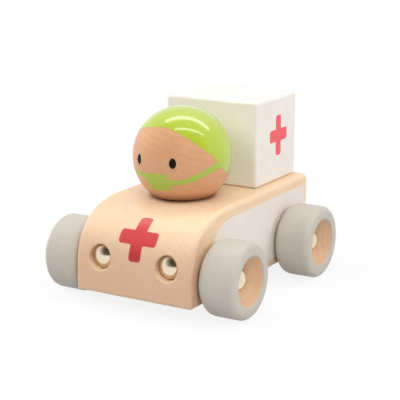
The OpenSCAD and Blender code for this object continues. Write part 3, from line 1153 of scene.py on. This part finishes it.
# %% Paint the hood and the face
HOOD_MIDDLE = (169.0, 43.0)
HOOD_LIFT, MASK_LIFT, STRAP_LIFT, EYE_LIFT = 0.09, 0.07, 0.05, 0.05
HOOD_SPACING, MASK_SPACING, EYE_SPACING = 2.0, 1.5, 1.2
OVAL_STEPS = 40
hood_front = [
    (-96, 1.6), (-84, 12), (-72, 22), (-58, 31), (-44, 36.3), (-30, 39.6), (-13, 42.4), (2, 43.6),
    (14, 41.2), (28, 36), (40, 29.6), (52, 20.6), (64, 11), (75.5, 2.4),
]
hood_back = [
    (80.5, -6.8), (88, -11), (98, -16.5), (113, -24), (140, -33), (169, -37),
    (198, -33), (225, -24), (240, -16.5), (250, -11), (257.5, -6.8),
]
STRAPS = {
    "left": (
        [(12, -17.2), (28, -17.4), (39, -13.9), (48, -10.2), (57, -6.8), (66, -3.0), (76.5, 3.0)],
        [(81, -4.6), (74, -8.2), (59, -13.2), (49.5, -17.4), (38, -21.8), (28, -24.0), (12, -26.0)],
    ),
    "right": (
        [(-98, 2.2), (-80, -5.5), (-62, -10), (-46, -12.2), (-30, -13.3), (-14, -12.5)],
        [(-14, -21), (-25, -18.6), (-40, -17.6), (-58, -16.6), (-80, -12.5), (-101, -6.0)],
    ),
}
MASK = [(-18.5, -11.6, 3.0), (14.4, -10.2, 2.5), (15.8, -32.4, 2.5), (-13.5, -34, 4.5)]
EYES = {"left": (20.3, 2.2, 4.1, 5.9), "right": (-26.7, 2.1, 3.8, 5.9)}

hood = [*curve_through(hood_front), *curve_through(hood_back)]
paint_ball("hood", hood, lime_lacquer, "lime_paint", HOOD_LIFT, HOOD_SPACING, HOOD_MIDDLE)
for name, (upper, lower) in STRAPS.items():
    strap = [*curve_through(upper), *curve_through(lower)]
    paint_ball("mask_strap_" + name, strap, mask_paint, "lime_paint", STRAP_LIFT, MASK_SPACING)
paint_ball("mask", softened(MASK), mask_paint, "lime_paint", MASK_LIFT, MASK_SPACING)
for name, (around, above, half_wide, half_tall) in EYES.items():
    turns = [2 * math.pi * k / OVAL_STEPS for k in range(OVAL_STEPS)]
    oval = [(around + half_wide * math.cos(t), above + half_tall * math.sin(t)) for t in turns]
    paint_ball("eye_" + name, oval, eye_paint, "black_paint", EYE_LIFT, EYE_SPACING)

# %% [markdown]
# ## The wheels
# A wheel is turned from beech with a deep dish in its face, dipped in grey, and the dish is left bare.
# So each wheel is two pieces: a core of wood, and a skin of paint that wraps the tread and both
# shoulders and ends just inside the dish's rounded lip. The core is drawn in a little under the paint,
# so that the paint's outside has the width and height that the CAD gives. Only the outer shoulder is
# rounded a little less than in the CAD, as the picture shows it crisper.

# %% Shape a wheel
SHOULDER_IN, SHOULDER_OUT, DISH_LIP = 5.0, 3.0, 1.2
DISH_R, DISH_DEEP, FLOOR_R, BORE_R = 11.8, 7.0, 5.75, 2.33
FLOOR_CORNER_R, WHEEL_ARC_STEPS = 0.3, 14
PAINT_STARTS_R, PAINT_ENDS_R, PAINT_SPACING = 4.0, 11.4, 1.5
LIP_ZONE = 2.0


def wheel_profile(inset, wide, outer):
    """The wheel's section as (radius, length), with the painted part drawn in by an inset."""
    slope = (DISH_R - FLOOR_R) / DISH_DEEP
    face = wide - inset
    corners = [
        (BORE_R, inset, 0.0),
        (outer - inset, inset, SHOULDER_IN - inset),
        (outer - inset, face, SHOULDER_OUT - inset),
        (DISH_R + inset - slope * inset, face, DISH_LIP),
        (FLOOR_R, wide - DISH_DEEP, FLOOR_CORNER_R),
        (BORE_R, wide - DISH_DEEP, 0.0),
    ]
    return softened(corners, WHEEL_ARC_STEPS)


def painted_path(wide, outer):
    """The part of the wheel's section that the dip covers, from the inner face to the dish's wall."""
    full = wheel_profile(0.0, wide, outer)
    near_lip = [k for k, (r, h) in enumerate(full) if h > wide - DISH_DEEP / 2 and r < DISH_R + LIP_ZONE]
    last = next(k for k in range(near_lip[0], len(full)) if full[k][0] < PAINT_ENDS_R)
    (lip_r, lip_h), (floor_r, floor_h) = full[last - 1 : last + 1]
    down = (lip_r - PAINT_ENDS_R) / (lip_r - floor_r)
    paint_end = (PAINT_ENDS_R, lip_h + (floor_h - lip_h) * down)
    return stepped([(PAINT_STARTS_R, 0.0), *full[1:last], paint_end], PAINT_SPACING, closed=False)


def drawn_in(path, depth):
    """A path moved inward by a depth, square to its own direction."""
    moved = []
    for k, (a, b) in enumerate(path):
        before, after = path[max(0, k - 1)], path[min(len(path) - 1, k + 1)]
        da, db = after[0] - before[0], after[1] - before[1]
        size = math.hypot(da, db)
        moved.append((a - db / size * depth, b + da / size * depth))
    return moved


print(f"dish of {2 * DISH_R:.1f} mm, painted down to {2 * PAINT_ENDS_R:.1f} mm across")

# %% [markdown]
# ## Four wheels
# The wheels are alike, and each rides on a body of its own, so that it can spin. A wheel starts at its
# inner face, and its axis points away from the car: to the left on one flank, to the right on the other.

# %% Turn and dip the wheels
DIP, UNDER = 0.15, 0.12
CORNERS = [(f"{end}_{flank}", flank) for end in ("front", "rear") for flank in ("left", "right")]


def seat_and_axis(low, high, flank):
    """The middle of the inner face of a piece at a flank, and the direction away from the car."""
    inner, out = (low.x, 1) if flank == "left" else (high.x, -1)
    return Vector((inner, (low.y + high.y) / 2, (low.z + high.z) / 2)), (out, 0, 0)


for corner, flank in CORNERS:
    low, high = measured("wheel_" + corner)
    wide, outer = high.x - low.x, (high.z - low.z) / 2
    hub, axis = seat_and_axis(low, high, flank)
    wheel_body = corner + "_wheel"
    points, faces = turned(wheel_profile(UNDER, wide, outer), hub, axis)
    make_piece("wheel_wood_" + corner, points, faces, wheel_beech, wheel_body, "beech", "wheel_" + corner)
    path = painted_path(wide, outer)
    points, faces = turned([*path, *reversed(drawn_in(path, DIP))], hub, axis)
    make_piece("wheel_paint_" + corner, points, faces, grey_paint, wheel_body, "grey_paint")

# %% [markdown]
# ## Caps and headlights
# Each axle ends in a pressed nickel cap at the bottom of the dish, and the same domed cap, on a nail,
# makes a headlight. The dome is a slice of a ball on a short rim, turned from a profile whose rim is
# softened, because a sharp rim would catch no light.

# %% Turn the caps and headlights
DOME_STEPS, DOME_TURN_STEPS = 24, 96
RIM_EASE, RIM_RISE, FOOT_EASE = 0.12, 0.05, 0.1


def dome_profile(radius):
    """A domed cap's section, standing on its rim."""
    ball_r = (radius**2 + DOME_H**2) / (2 * DOME_H)
    reach = math.asin(radius / ball_r)
    turns = [reach * k / DOME_STEPS for k in range(DOME_STEPS)]
    return [
        *[(ball_r * math.sin(t), RIM_H + DOME_H - ball_r * (1 - math.cos(t))) for t in turns],
        (radius - RIM_EASE, RIM_H + RIM_RISE),
        (radius, RIM_H - RIM_EASE),
        (radius, FOOT_EASE),
        (radius - FOOT_EASE, 0.0),
        (0.0, 0.0),
    ]


def make_dome(name, node, radius, seat, axis):
    """A nickel dome that stands for a CAD node."""
    points, faces = turned(dome_profile(radius), seat, axis, closed=False, steps=DOME_TURN_STEPS)
    make_piece(name, points, faces, nickel, "chassis", "nickel", node)


for corner, flank in CORNERS:
    low, high = measured("axle_cap_" + corner)
    seat, axis = seat_and_axis(low, high, flank)
    make_dome("cap_" + corner, "axle_cap_" + corner, (high.z - low.z) / 2, seat, axis)
for flank in ("left", "right"):
    low, high = measured("headlight_" + flank)
    radius = (high.x - low.x) / 2
    make_dome("headlight_dome_" + flank, "headlight_" + flank, radius, light_place(flank), (0, -1, 0))

# %% [markdown]
# ## What stays as CAD made it
# The axles, the washers and the dowels have the right shape already and are nearly out of sight. They
# stay as they are and only get a finish each, in their object's own material slot.

# %% Dress the hidden pieces
HIDDEN = {"_axle": axle_steel, "washer_": washer_steel, "dowel": dowel_beech}
for name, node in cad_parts.items():
    finish = next((f for word, f in HIDDEN.items() if word in name), None)
    if finish and not node.hide_render:
        if not node.data.materials:
            node.data.materials.append(finish)
        for material_slot in node.material_slots:
            material_slot.link = "OBJECT"
            material_slot.material = finish
        print(name, "keeps its CAD mesh, in", finish.name)

# %% [markdown]
# ## Colours and size
# The view transform is the standard one, so a colour renders about as it is written. Last, the box
# round the finished toy is printed.

# %% Finish
bpy.context.scene.view_settings.view_transform = "Standard"
low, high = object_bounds()
print("visual box from", tuple(low), "to", tuple(high))
